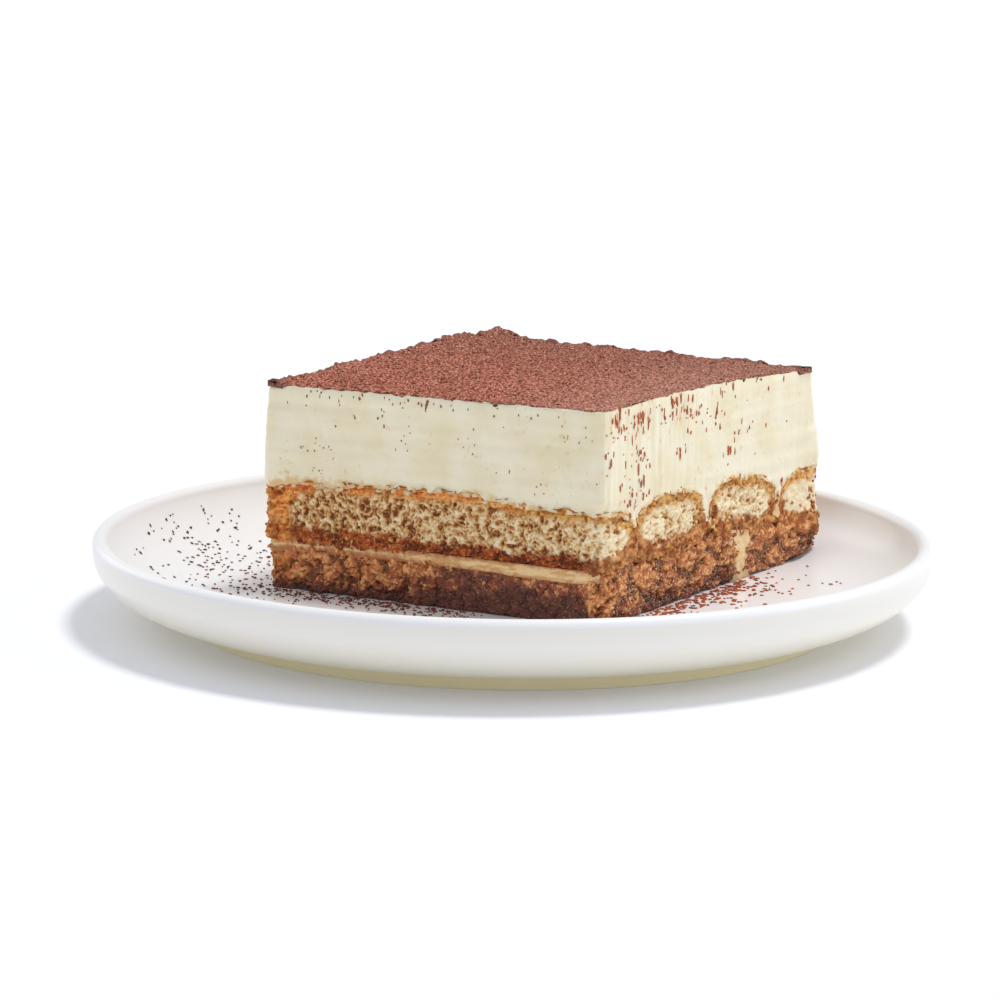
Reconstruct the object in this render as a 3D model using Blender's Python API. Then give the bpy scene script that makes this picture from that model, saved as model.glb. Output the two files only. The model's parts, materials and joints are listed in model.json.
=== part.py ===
"""A square cut portion of tiramisu on a round white dessert plate.

The portion is built the way it is made: rows of sponge fingers, cream spread over and between them,
cocoa sifted on top, and then one knife-cut block that trims every layer to the same outline.

Frame: the origin is the middle of the plate at the level of its foot ring, +Z is up, the sponge
fingers run along X, and the long side where a finger is cut lengthwise faces -Y.
"""

import math

import bmesh
import bpy
from mathutils import Vector

# ---- plate ----
PLATE_RADIUS = 0.0875
PLATE_SEGMENTS = 72
LIP_RADIUS = 0.0016
LIP_HEIGHT = 0.01625
FLOOR_HEIGHT = 0.0060
FLOOR_RADIUS = 0.0680
WELL_DEPTH = 0.0125
FOOT_RADIUS = 0.0690
FOOT_HEIGHT = 0.0032
FOOT_WIDTH = 0.0044
FOOT_ROUNDING = 0.0006
RECESS_HEIGHT = 0.0016

# ---- portion, in plan ----
FRONT_Y = -0.0268
LEFT_X = -0.0436
LENGTH = 0.0785
DEPTH = 0.0887
SKEW = 0.0624
BACK_LEAN = 0.0035
LEAN_FROM = 0.0200
LEAN_TO = 0.0410

# ---- portion, in height above the plate's floor ----
GAP = 0.0003
COCOA_THICKNESS = 0.0010
TOP_FRONT_RIGHT = 0.0436
TOP_FRONT_LEFT = 0.0430
TOP_BACK_RIGHT = 0.0417
TOP_BACK_LEFT = 0.0431
TOP_CROWN = 0.0012
BACK_LEFT_RISE = 0.0013
RISE_SHARE = 0.17
RISE_STARTS = 0.50
RISE_ENDS = 0.75
BLOCK_TOP = 0.0480
MARGIN = 0.0060

# The level down to which the top cream runs between two fingers, and the level of the middle cream.
# Each pair is a distance from the front face and a height.
TONGUE_FLOOR = ((0.020, 0.0187), (0.038, 0.0138), (0.074, 0.0112), (0.092, 0.0100))
MIDDLE_LEVEL = ((0.000, 0.0126), (0.038, 0.0134), (0.074, 0.0108), (0.092, 0.0096))

# ---- sponge fingers: the middle of the section measured from the front face, its half width, its
# height over the floor, what it rises and falls from there, and how far it tips toward the back ----
FINGER_POINTS = 28
FINGER_SQUARENESS = 2.8
UPPER_FINGERS = (
    {"middle": -0.0029, "half": 0.0148, "height": 0.0167, "up": 0.0061, "down": 0.0057, "tip": 0.0},
    {"middle": 0.0268, "half": 0.0143, "height": 0.0168, "up": 0.0066, "down": 0.0054, "tip": 1.5},
    {"middle": 0.0584, "half": 0.0149, "height": 0.0161, "up": 0.0060, "down": 0.0054, "tip": 7.0},
    {"middle": 0.0896, "half": 0.0152, "height": 0.0134, "up": 0.0064, "down": 0.0060, "tip": 2.5},
)
LOWER_FINGERS = (
    {"middle": 0.0120, "half": 0.0157, "height": 0.0040, "up": 0.0056, "down": 0.0060, "tip": 0.0},
    {"middle": 0.0424, "half": 0.0129, "height": 0.0040, "up": 0.0060, "down": 0.0060, "tip": 0.0},
    {"middle": 0.0772, "half": 0.0166, "height": 0.0034, "up": 0.0041, "down": 0.0060, "tip": 3.0},
)
# Along a finger: the place, as a share of the portion's length from the left, the size of the
# section there, and how far its upper side is lifted. The left ends are the fingers' own tips.
# The lower row lies under weight, so that only a share of the lift is left there.
FINGER_STATIONS = (
    (-0.070, 0.70, -0.0016),
    (-0.020, 0.88, -0.0010),
    (0.050, 0.97, 0.0000),
    (0.250, 1.00, 0.0005),
    (0.450, 1.00, 0.0014),
    (0.620, 1.00, 0.0015),
    (0.780, 1.00, 0.0002),
    (1.060, 1.00, 0.0000),
)

LOWER_LIFT = 0.35

COCOA = (0.33, 0.125, 0.085, 1.0)
CREAM = (0.80, 0.70, 0.49, 1.0)
SOAKED_CREAM = (0.55, 0.33, 0.16, 1.0)
SPONGE = (0.52, 0.33, 0.17, 1.0)
SOAKED_SPONGE = (0.20, 0.085, 0.04, 1.0)
PORCELAIN = (0.86, 0.85, 0.83, 1.0)


def material(name, colour, roughness):
    made = bpy.data.materials.new(name)
    made.use_nodes = True
    shader = made.node_tree.nodes["Principled BSDF"]
    shader.inputs["Base Color"].default_value = colour
    shader.inputs["Roughness"].default_value = roughness
    shader.inputs["Metallic"].default_value = 0.0
    return made


def add_object(name, bm, finish=None):
    """Put the mesh in the scene as one object. Without a finish it is a cutter, drawn as wire."""
    bmesh.ops.recalc_face_normals(bm, faces=bm.faces[:])
    mesh = bpy.data.meshes.new(name)
    bm.to_mesh(mesh)
    bm.free()
    made = bpy.data.objects.new(name, mesh)
    bpy.context.scene.collection.objects.link(made)
    if finish is None:
        made.hide_render = True
        made.display_type = "WIRE"
    else:
        mesh.materials.append(finish)
    return made


def step_along(pairs, place):
    """The height at a place, read off straight lines between (place, height) pairs."""
    if place <= pairs[0][0]:
        return pairs[0][1]
    for (start, low), (end, high) in zip(pairs, pairs[1:]):
        if place <= end:
            return low + (high - low) * (place - start) / (end - start)
    return pairs[-1][1]


def smooth(share):
    share = min(max(share, 0.0), 1.0)
    return share * share * (3.0 - 2.0 * share)


# ---- plate ----


def well_height(radius):
    """Height of the plate's upper surface: a flat floor that turns up in an elliptical wall."""
    reach = PLATE_RADIUS - 2.0 * LIP_RADIUS + 0.0003 - FLOOR_RADIUS
    share = min(max((radius - FLOOR_RADIUS) / reach, 0.0), 1.0)
    return FLOOR_HEIGHT + WELL_DEPTH * (1.0 - math.sqrt(1.0 - share * share))


def plate_profile():
    """Half section of the plate as (radius, height), from the middle of the floor outward,
    over the lip and down the outside to the foot ring and the recess under the floor."""
    inner_lip = PLATE_RADIUS - 2.0 * LIP_RADIUS
    points = [(0.0, FLOOR_HEIGHT), (FLOOR_RADIUS * 0.5, FLOOR_HEIGHT), (FLOOR_RADIUS, FLOOR_HEIGHT)]
    for step in range(1, 8):
        radius = FLOOR_RADIUS + (inner_lip - FLOOR_RADIUS) * math.sin(math.radians(90 * step / 8))
        points.append((radius, well_height(radius)))
    for step in range(7):
        turn = math.radians(170 - 170 * step / 6)
        radius = PLATE_RADIUS - LIP_RADIUS + LIP_RADIUS * math.cos(turn)
        points.append((radius, LIP_HEIGHT + LIP_RADIUS * math.sin(turn)))
    # The outer wall is a full, rounded bowl side that tightens toward the foot.
    for step in range(1, 9):
        turn = math.radians(90 - 90 * step / 8)
        radius = FOOT_RADIUS + (PLATE_RADIUS - FOOT_RADIUS) * math.sin(turn) ** 1.19
        height = FOOT_HEIGHT + (LIP_HEIGHT - FOOT_HEIGHT) * (1.0 - math.cos(turn) ** 0.78)
        points.append((radius, height))
    points.append((FOOT_RADIUS - 0.0004, FOOT_ROUNDING))
    points.append((FOOT_RADIUS - 0.0004 - FOOT_ROUNDING, 0.0))
    points.append((FOOT_RADIUS - FOOT_WIDTH + FOOT_ROUNDING, 0.0))
    points.append((FOOT_RADIUS - FOOT_WIDTH, FOOT_ROUNDING))
    points.append((FOOT_RADIUS - FOOT_WIDTH - 0.0012, RECESS_HEIGHT))
    points.append((0.0, RECESS_HEIGHT))
    return points


def build_plate(finish):
    bm = bmesh.new()
    ring = [bm.verts.new((radius, 0.0, height)) for radius, height in plate_profile()]
    edges = [bm.edges.new(pair) for pair in zip(ring, ring[1:])]
    bmesh.ops.spin(
        bm,
        geom=ring + edges,
        cent=(0.0, 0.0, 0.0),
        axis=(0.0, 0.0, 1.0),
        angle=2.0 * math.pi,
        steps=PLATE_SEGMENTS,
        use_merge=True,
    )
    bmesh.ops.remove_doubles(bm, verts=bm.verts[:], dist=0.00001)
    for face in bm.faces:
        face.smooth = True
    return add_object("plate", bm, finish)


# ---- portion ----


def place(share, depth, height):
    """A point of the portion: share of the length from the left, depth from the front face."""
    x = LEFT_X + LENGTH * share + SKEW * depth
    return Vector((x, FRONT_Y + depth, FLOOR_HEIGHT + height))


def top_level(share, depth):
    across = min(max(depth / DEPTH, -0.05), 1.05)
    front = TOP_FRONT_LEFT + (TOP_FRONT_RIGHT - TOP_FRONT_LEFT) * share
    back = TOP_BACK_LEFT + (TOP_BACK_RIGHT - TOP_BACK_LEFT) * share
    crown = TOP_CROWN * math.sin(math.pi * min(max(across, 0.0), 1.0))
    rise = BACK_LEFT_RISE * smooth((across - RISE_STARTS) / (RISE_ENDS - RISE_STARTS))
    return front + (back - front) * across + crown + rise * smooth(1.0 - share / RISE_SHARE)


def back_depth(height):
    """The back face leans out below the cream."""
    return DEPTH + BACK_LEAN * smooth((LEAN_TO - height) / (LEAN_TO - LEAN_FROM))


def loft(bm, rings):
    """Close a solid over rings of equally many points."""
    loops = []
    for ring in rings:
        verts = [bm.verts.new(point) for point in ring]
        loops.append([bm.edges.new(pair) for pair in zip(verts, verts[1:] + verts[:1])])
    for one, other in zip(loops, loops[1:]):
        bmesh.ops.bridge_loops(bm, edges=one + other)
    bmesh.ops.contextual_create(bm, geom=loops[0])
    bmesh.ops.contextual_create(bm, geom=loops[-1])


def rounded_plan(height, radii):
    """The knife's outline at one height: four corners, each rounded by its own radius."""
    back = back_depth(height)
    corners = (place(1.0, 0.0, height), place(1.0, back, height))
    corners += (place(0.0, back, height), place(0.0, 0.0, height))
    ring = []
    for index, (corner, radius) in enumerate(zip(corners, radii)):
        before = (corners[index - 1] - corner).normalized()
        after = (corners[(index + 1) % 4] - corner).normalized()
        for step in range(5):
            share = step / 4.0
            start, end = corner + before * radius, corner + after * radius
            ring.append(start.lerp(corner, share).lerp(corner.lerp(end, share), share))
    return ring


def build_knife_block():
    """The block that the knife leaves. Its lower back corners clear the rising plate."""
    cream, sponge = 0.0020, 0.0060
    levels = (
        (GAP, (sponge, 0.0190, 0.0160, 0.0020)),
        (0.0026, (sponge, 0.0030, 0.0030, 0.0015)),
        (0.0090, (sponge, 0.0020, 0.0020, 0.0015)),
        (0.0210, (sponge, 0.0015, 0.0015, 0.0015)),
        (0.0250, (cream, 0.0015, 0.0015, 0.0015)),
        (0.0330, (cream, 0.0015, 0.0015, 0.0015)),
        (LEAN_TO, (cream, 0.0015, 0.0015, 0.0015)),
        (BLOCK_TOP, (cream, 0.0015, 0.0015, 0.0015)),
    )
    bm = bmesh.new()
    loft(bm, [rounded_plan(height, radii) for height, radii in levels])
    return add_object("knife_block", bm)


def finger_section(finger, size, lift, grow):
    """Closed outline of a sponge finger: flat below, domed above, with full round sides."""
    slope = math.radians(finger["tip"])
    outline = []
    for step in range(FINGER_POINTS):
        turn = 2.0 * math.pi * step / FINGER_POINTS
        reach = abs(math.cos(turn)) ** (2.0 / FINGER_SQUARENESS)
        climb = abs(math.sin(turn)) ** (2.0 / FINGER_SQUARENESS)
        across = math.copysign((finger["half"] * size + grow) * reach, math.cos(turn))
        if math.sin(turn) > 0.0:
            up = (finger["up"] * size + lift + grow) * climb
        else:
            up = -(finger["down"] * size + grow) * climb
        depth = finger["middle"] + across * math.cos(slope) + up * math.sin(slope)
        outline.append((depth, finger["height"] + up * math.cos(slope) - across * math.sin(slope)))
    return outline


def finger_mesh(finger, lifted, grow=0.0):
    bm = bmesh.new()
    rings = []
    for share, size, lift in FINGER_STATIONS:
        section = finger_section(finger, size, lift * lifted, grow)
        rings.append([place(share, depth, height) for depth, height in section])
    loft(bm, rings)
    return bm


def slab(name, lower, upper, finish, cells=12):
    """A sheet between two levels, wider than the portion on every side."""
    bm = bmesh.new()
    bmesh.ops.create_grid(bm, x_segments=cells, y_segments=cells, size=0.5)
    under = bm.faces[:]
    extruded = bmesh.ops.extrude_face_region(bm, geom=under, use_keep_orig=True)
    top = {item for item in extruded["geom"] if isinstance(item, bmesh.types.BMVert)}
    for vert in bm.verts:
        share = 0.5 + vert.co.x * (1.0 + 2.0 * MARGIN / LENGTH)
        depth = (vert.co.y + 0.5) * (DEPTH + BACK_LEAN + 2.0 * MARGIN) - MARGIN
        level = upper if vert in top else lower
        vert.co = place(share, depth, level(share, depth))
    return add_object(name, bm, finish)


def cut(target, operation, cutter=None, group=None):
    modifier = target.modifiers.new(operation.lower(), "BOOLEAN")
    modifier.operation = operation
    modifier.solver = "EXACT"
    if group is None:
        modifier.object = cutter
    else:
        modifier.operand_type = "COLLECTION"
        modifier.collection = group


def build_fingers(fingers, row, lifted, finish, block, cutters):
    for number, finger in enumerate(fingers, 1):
        made = add_object(f"finger_{row}_{number}", finger_mesh(finger, lifted), finish)
        cut(made, "INTERSECT", block)
        cutter = add_object(f"room_{row}_{number}", finger_mesh(finger, lifted, GAP))
        bpy.context.scene.collection.objects.unlink(cutter)
        for group in cutters:
            group.objects.link(cutter)


def cutter_group(name):
    group = bpy.data.collections.new(name)
    group.hide_render = True
    bpy.context.scene.collection.children.link(group)
    return group


def build_portion():
    block = build_knife_block()
    upper_rooms = cutter_group("rooms_in_top_cream")
    all_rooms = cutter_group("rooms_in_middle_cream")
    pale = material("sponge finger", SPONGE, 0.85)
    soaked = material("coffee-soaked sponge finger", SOAKED_SPONGE, 0.55)
    build_fingers(UPPER_FINGERS, "upper", 1.0, pale, block, (upper_rooms, all_rooms))
    build_fingers(LOWER_FINGERS, "lower", LOWER_LIFT, soaked, block, (all_rooms,))

    def cream_level(share, depth):
        return top_level(share, depth) - COCOA_THICKNESS - GAP

    def tongue_floor(share, depth):
        return step_along(TONGUE_FLOOR, depth) + GAP

    def middle_level(share, depth):
        return step_along(MIDDLE_LEVEL, depth)

    cream = slab("cream_top", tongue_floor, cream_level, material("mascarpone cream", CREAM, 0.5))
    cut(cream, "DIFFERENCE", group=upper_rooms)
    cut(cream, "INTERSECT", block)

    tinted = material("coffee-tinted cream", SOAKED_CREAM, 0.5)
    middle = slab("cream_middle", lambda share, depth: -MARGIN, middle_level, tinted)
    cut(middle, "DIFFERENCE", group=all_rooms)
    cut(middle, "INTERSECT", block)

    def cocoa_floor(share, depth):
        return top_level(share, depth) - COCOA_THICKNESS

    cocoa = slab("cocoa_layer", cocoa_floor, top_level, material("sifted cocoa", COCOA, 0.95))
    cut(cocoa, "INTERSECT", block)


def main():
    for old in list(bpy.data.objects):
        bpy.data.objects.remove(old, do_unlink=True)
    build_plate(material("glazed porcelain", PORCELAIN, 0.15))
    build_portion()


main()
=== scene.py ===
import json
import math
import random
from functools import partial, reduce

import bmesh
import bpy
from mathutils import Matrix, Vector, noise
from mathutils.bvhtree import BVHTree
from mathutils.kdtree import KDTree

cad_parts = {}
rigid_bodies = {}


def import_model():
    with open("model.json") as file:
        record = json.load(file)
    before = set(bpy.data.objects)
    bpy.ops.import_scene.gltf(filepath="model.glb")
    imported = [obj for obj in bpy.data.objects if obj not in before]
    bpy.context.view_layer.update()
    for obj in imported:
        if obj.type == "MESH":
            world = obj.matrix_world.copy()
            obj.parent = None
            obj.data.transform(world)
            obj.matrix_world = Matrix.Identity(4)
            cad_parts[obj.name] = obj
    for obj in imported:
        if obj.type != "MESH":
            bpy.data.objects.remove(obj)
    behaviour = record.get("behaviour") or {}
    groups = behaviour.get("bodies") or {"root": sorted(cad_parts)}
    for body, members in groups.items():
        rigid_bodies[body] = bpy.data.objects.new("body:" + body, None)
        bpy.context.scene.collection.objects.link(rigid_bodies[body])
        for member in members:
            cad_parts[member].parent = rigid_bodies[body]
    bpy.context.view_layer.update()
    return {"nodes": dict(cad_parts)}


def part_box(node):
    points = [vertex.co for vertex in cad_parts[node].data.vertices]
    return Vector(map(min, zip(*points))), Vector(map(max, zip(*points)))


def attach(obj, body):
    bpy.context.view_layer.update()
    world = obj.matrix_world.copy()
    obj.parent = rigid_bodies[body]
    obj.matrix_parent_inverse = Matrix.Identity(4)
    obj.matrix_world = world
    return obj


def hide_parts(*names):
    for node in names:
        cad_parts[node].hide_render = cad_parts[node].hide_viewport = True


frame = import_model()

# A portion of tiramisu on its plate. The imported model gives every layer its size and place; each layer
# here starts from a copy of its solid, and its cut faces get the crumb, cream and cocoa of the real one.

scene = bpy.context.scene
mm = 0.001


def srgb(hexText):
    # sRGB hex to linear light
    made = []
    for at in (0, 2, 4):
        part = int(hexText[at:at + 2], 16) / 255
        made.append(part / 12.92 if part <= 0.04045 else ((part + 0.055) / 1.055) ** 2.4)
    return (*made, 1.0)


# kinds of node: what the setting is called, the inputs in order, the output
nodeKinds = {
    "Math": ("operation", (0, 1, 2), 0),
    "Mix": ("data_type", (0, 6, 7), 2),
    "MapRange": ("interpolation_type", ("Value", "From Min", "From Max", "To Min", "To Max"), 0),
    "Mapping": ("vector_type", ("Vector", "Scale"), 0),
    "TexNoise": ("noise_dimensions", ("Vector", "Scale", "Detail"), "Fac"),
    "Attribute": ("attribute_name", (), "Fac"),
    "Bump": ("invert", ("Strength", "Distance", "Height"), 0),
    "ValToRGB": ("stops", ("Fac",), "Color"),
    "SeparateXYZ": ("output", (0,), None),
    "TexCoord": ("output", (), None),
    "NewGeometry": ("output", (), None),
}


def fill(node, values):
    # gives each input its number, its sRGB hex value or the output that feeds it
    for name, value in values.items():
        socket = node.inputs[name]
        if isinstance(value, bpy.types.NodeSocket):
            node.id_data.links.new(value, socket)
        else:
            socket.default_value = srgb(value) if isinstance(value, str) else value


def addNode(tree, kind, setting, *values):
    # one node with its setting and its inputs in order; returns the output that is used
    name, inputs, output = nodeKinds[kind]
    made = tree.nodes.new("ShaderNode" + kind)
    if name == "stops":
        ramp = made.color_ramp.elements
        while len(ramp) < len(setting):
            ramp.new(0.5)
        for spot, (place, colour) in zip(ramp, setting):
            spot.position = place
            spot.color = srgb(colour)
    elif name == "output":
        output = setting
    else:
        setattr(made, name, setting)
    fill(made, dict(zip(inputs, values)))
    return made.outputs[output]


def newMaterial(name, values):
    # a material, what adds nodes to it, and its shader
    made = bpy.data.materials.new(name)
    made.use_nodes = True
    add = partial(addNode, made.node_tree)
    shader = made.node_tree.nodes["Principled BSDF"]
    fill(shader, values)
    return made, add, shader


def speckle(add, size, detail=2.0, stretch=(1, 1, 1), drag=1):
    # noise with lumps about so many millimetres across, drawn out along Y by the drag
    x, y, z = (1 / (size * mm * each) for each in stretch)
    scaled = add("Mapping", "POINT", add("TexCoord", "Object"), (x, y / drag, z))
    return add("TexNoise", "3D", scaled, 1.0, detail)


def together(add, *ranges):
    # multiplies how far each value has come from its low to its high, as 0 to 1 or as two numbers given
    shares = [add("MapRange", "SMOOTHSTEP", *each) for each in ranges]
    return reduce(partial(add, "Math", "MULTIPLY"), shares)


def lay(add, under, over, *ranges):
    # lays one colour over another where its ranges have come up
    return add("Mix", "RGBA", together(add, *ranges), under, over)


def addObject(name, data):
    # a new object in the scene
    made = bpy.data.objects.new(name, data)
    scene.collection.objects.link(made)
    return made


def placeMesh(bm, name, material):
    mesh = bpy.data.meshes.new(name)
    bm.to_mesh(mesh)
    bm.free()
    mesh.materials.append(material)
    return addObject(name, mesh)


def finishPiece(bm, name, material, nodes):
    # a smooth piece on the root body that stands for those CAD nodes
    piece = placeMesh(bm, name, material)
    mesh = piece.data
    mesh.polygons.foreach_set("material_index", [0] * len(mesh.polygons))
    mesh.polygons.foreach_set("use_smooth", [True] * len(mesh.polygons))
    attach(piece, "root")
    if nodes:
        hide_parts(*nodes)


# camera
view = {
    "azimuth": 28.42,  # degrees round from -Y toward +X
    "elevation": 10.48,
    "distance": 0.725,
    "target": (-0.00237, -0.00128, 0.0244),
    "lens": 124.8,
    "roll": 0.56,
}


def placeCamera():
    turn, rise = math.radians(view["azimuth"]), math.radians(view["elevation"])
    lean = math.radians(view["roll"])
    back = Vector((math.sin(turn) * math.cos(rise), -math.cos(turn) * math.cos(rise), math.sin(rise)))
    right = Vector((math.cos(turn), math.sin(turn), 0))
    up = back.cross(right)
    across = right * math.cos(lean) + up * math.sin(lean)
    above = up * math.cos(lean) - right * math.sin(lean)
    lens = bpy.data.cameras.new("camera")
    lens.lens = view["lens"]
    lens.sensor_width = 36
    lens.clip_start = 0.01
    camera = addObject("camera", lens)
    camera.matrix_world = Matrix.Translation(Vector(view["target"]) + back * view["distance"]) @ Matrix(
        (across, above, back)).transposed().to_4x4()
    scene.camera = camera


placeCamera()
print("camera placed")

# floor and light
studio = {
    "paper": "f1f2f8",
    "glowTint": "dce8ff",
    "paperGlow": 0.1,  # lifts the paper to white, as its own lights do
    "paperSize": 40.0,
    "sky": 0.53,  # light from all round
    # soft lamps: power, degrees across, where they shine from
    "lamps": {
        "topLamp": (1.50, 14.0, (0.215, 0.262, 0.940)),
        "sideLamp": (0.52, 40.0, (0.827, 0.447, 0.342)),
        "rearLamp": (0.50, 40.0, (-0.901, 0.268, 0.342)),
    },
}


def buildStudio():
    material = newMaterial("seamless studio paper", {
        "Base Color": studio["paper"], "Roughness": 0.9, "Specular IOR Level": 0.1,
        "Emission Color": studio["glowTint"], "Emission Strength": studio["paperGlow"]})[0]
    bm = bmesh.new()
    bmesh.ops.create_grid(bm, x_segments=1, y_segments=1, size=studio["paperSize"] / 2)
    paper = placeMesh(bm, "studioPaper", material)
    world = bpy.data.worlds.new("studio")
    world.use_nodes = True
    nodes = world.node_tree.nodes
    fill(nodes["Background"], {"Color": "ffffff", "Strength": studio["sky"]})
    # the surround itself shows as plain white
    white = nodes.new("ShaderNodeBackground")
    fill(white, {"Color": "ffffff"})
    seen = nodes.new("ShaderNodeLightPath").outputs["Is Camera Ray"]
    either = nodes.new("ShaderNodeMixShader")
    fill(either, {0: seen, 1: nodes["Background"].outputs[0], 2: white.outputs[0]})
    fill(nodes["World Output"], {"Surface": either.outputs[0]})
    scene.world = world
    for name, (power, across, way) in studio["lamps"].items():
        lamp = bpy.data.lights.new(name, "SUN")
        lamp.energy = power
        lamp.angle = math.radians(across)
        shone = Vector(way).to_track_quat("Z", "Y").to_euler()
        addObject(name, lamp).rotation_euler = shone
    scene.view_settings.view_transform = "Standard"


buildStudio()
print("studio ready")

# plate
plate = {
    "segments": 288,
    "lipRadius": 1.6 * mm,
    "lipHeight": 16.25 * mm,
    "floorHeight": 6.0 * mm,
    "floorRadius": 68.0 * mm,
    "footRadius": 69.0 * mm,
    "footHeight": 3.2 * mm,
    "footWidth": 4.4 * mm,
    "footRounding": 0.6 * mm,
    "bulge": 1.19,  # the two powers that bend the side between the foot and the lip
    "flare": 0.78,
    "wallRise": 12.5 * mm,
    "recess": 1.6 * mm,
    # the side from the foot up: painted warm bounce light at the foot, warmer painted shade low down,
    # white glaze
    "side": ((0.0, "fff3cb"), (0.24, "fff3cb"), (0.5, "efe9d6"), (1.0, "f6f4ed")),
    # painted top light for the upward-facing glaze
    "paintedTopLight": "f8f9fc",
}
plate["radius"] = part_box("plate")[1].x


def wellHeight(radius):
    # the plate's upper surface: a flat floor that turns up in an elliptical wall
    reach = plate["radius"] - 2 * plate["lipRadius"] + 0.3 * mm - plate["floorRadius"]
    share = min(max((radius - plate["floorRadius"]) / reach, 0), 1)
    return plate["floorHeight"] + plate["wallRise"] * (1 - math.sqrt(1 - share * share))


def plateProfile():
    # half a section of the plate: over its floor and wall, round the lip, down the side, under the foot
    rim, lip, lipHeight = plate["radius"], plate["lipRadius"], plate["lipHeight"]
    floor, innerLip = plate["floorRadius"], plate["radius"] - 2 * plate["lipRadius"]
    points = [(0, plate["floorHeight"])]
    points += [(floor * step / 4, plate["floorHeight"]) for step in range(1, 5)]
    for step in range(1, 24):
        radius = floor + (innerLip - floor) * math.sin(math.radians(90 * step / 24))
        points.append((radius, wellHeight(radius)))
    for step in range(15):
        turn = math.radians(172 - 172 * step / 14)
        points.append((rim - lip + lip * math.cos(turn), lipHeight + lip * math.sin(turn)))
    for step in range(1, 33):
        turn = math.radians(90 - 90 * step / 32)
        radius = plate["footRadius"] + (rim - plate["footRadius"]) * math.sin(turn) ** plate["bulge"]
        rise = 1 - math.cos(turn) ** plate["flare"]
        points.append((radius, plate["footHeight"] + (lipHeight - plate["footHeight"]) * rise))
    foot = plate["footRadius"] - 0.4 * mm
    bend = plate["footRounding"]
    points += [(foot + 0.05 * mm, 2 * mm), (foot, bend)]
    for step in range(1, 5):
        turn = math.radians(90 * step / 4)
        points.append((foot - bend + bend * math.cos(turn), bend - bend * math.sin(turn)))
    inner = plate["footRadius"] - plate["footWidth"]
    for step in range(5):
        turn = math.radians(90 * step / 4)
        points.append((inner + bend - bend * math.sin(turn), bend - bend * math.cos(turn)))
    points += [(inner - 1.2 * mm, plate["recess"]), (inner * 0.5, plate["recess"]), (0, plate["recess"])]
    return points


def porcelainMaterial():
    # glazed porcelain: white body under a clear, smooth glaze; painted warm bounce light and shade at the
    # foot and low side
    # painted top light on the upper surface
    material, add, shader = newMaterial("glazed porcelain", {
        "Roughness": 0.3, "Specular IOR Level": 0.25, "Coat Weight": 0.1, "Coat Roughness": 0.1})
    # painted light by height: warm bounce at the foot, warmer shade low on the side, white glaze above
    height = add("SeparateXYZ", "Z", add("TexCoord", "Object"))
    level = add("Math", "MULTIPLY_ADD", speckle(add, 1000 / 60, 3.0), 1.2 * mm, height)
    share = add("MapRange", "LINEAR", level, 0.6 * mm, 13.1 * mm)
    colour = add("ValToRGB", plate["side"], share)
    # painted light: the upward-facing surface is painted whiter and bluer than the side, as if lit from
    # above
    facing = add("SeparateXYZ", "Z", add("NewGeometry", "Normal"))
    colour = lay(add, colour, plate["paintedTopLight"], (facing, 0.02, 0.1))
    ripple = add("Bump", False, 0.04, 2 * mm, speckle(add, 1000 / 35))
    fill(shader, {"Base Color": colour, "Normal": ripple})
    return material


def buildPlate():
    bm = bmesh.new()
    line = [bm.verts.new((radius, 0, height)) for radius, height in plateProfile()]
    edges = [bm.edges.new(pair) for pair in zip(line, line[1:])]
    bmesh.ops.spin(bm, geom=line + edges, cent=(0, 0, 0), axis=(0, 0, 1), angle=2 * math.pi,
                   steps=plate["segments"], use_merge=True)
    bmesh.ops.remove_doubles(bm, verts=bm.verts[:], dist=0.003 * mm)
    bmesh.ops.recalc_face_normals(bm, faces=bm.faces[:])
    finishPiece(bm, "glazedPlate", porcelainMaterial(), ["plate"])


buildPlate()
print("plate thrown and glazed")

# what the layers of the portion share
upperFingers = [f"finger_upper_{number}" for number in range(1, 5)]
lowerFingers = [f"finger_lower_{number}" for number in range(1, 4)]
layerNodes = ["cocoa_layer", "cream_top", "cream_middle"] + upperFingers + lowerFingers
portion = {
    "skew": 0.0624,  # the two side cuts lean toward +X by this much for each step back
    "low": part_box("cream_top")[0],
    "high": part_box("cream_top")[1],
}
portion["width"] = portion["high"].x - portion["low"].x - portion["skew"] * (
    portion["high"].y - portion["low"].y)
hidden, cutFront, cutSide, cutUp = range(4)


def fromFront(spot):
    return spot.y - portion["low"].y


def fromLeft(spot):
    return spot.x - portion["low"].x - portion["skew"] * fromFront(spot)


def fromRight(spot):
    return portion["width"] - fromLeft(spot)


def fromBack(spot):
    return portion["high"].y - spot.y


def overFloor(spot):
    return spot.z - plate["floorHeight"]


def ease(low, high, value):
    share = min(max((value - low) / (high - low), 0), 1)
    return share * share * (3 - 2 * share)


def wave(spot, size, seed=0):
    # smooth noise, mostly from -1 to 1, with lumps of about that size
    return 1.6 * noise.noise(Vector((spot.x / size + 17.3 * seed, spot.y / size, spot.z / size)))


def swells(spot, *parts):
    # waves added up, each with its height, its size in millimetres and its seed
    return sum(height * wave(spot, size * mm, seed) for height, size, seed in parts)


def bubble(spot, cell, radius):
    # how deep a point lies in a round hole: 0 at its rim, 1 at its middle; radius is a share of the cell
    near, middles = noise.voronoi(spot / cell)
    size = radius * (0.35 + 0.65 * noise.cell(middles[0] * 31.7))
    return max(0, 1 - (near[0] / size) ** 2) if size > 0 else 0


def surfaceOf(pieces):
    # one search tree over several pieces
    bm = bmesh.new()
    for piece in pieces:
        bm.from_mesh(piece.data)
    tree = BVHTree.FromBMesh(bm)
    bm.free()
    return tree


# every layer's solid, to tell a cut face from one that touches its neighbour
solidTree = surfaceOf(frame["nodes"][name] for name in layerNodes)


def wayOut(vert, shown):
    # the normals of a vertex's cut faces added up, or those of its hidden ones
    faces = [face for face in vert.link_faces if (face.material_index != hidden) == shown]
    return sum((face.normal for face in faces), Vector())


def marksOn(bm, names):
    # float marks that the materials read
    return [bm.verts.layers.float.new(name) for name in names]


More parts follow.
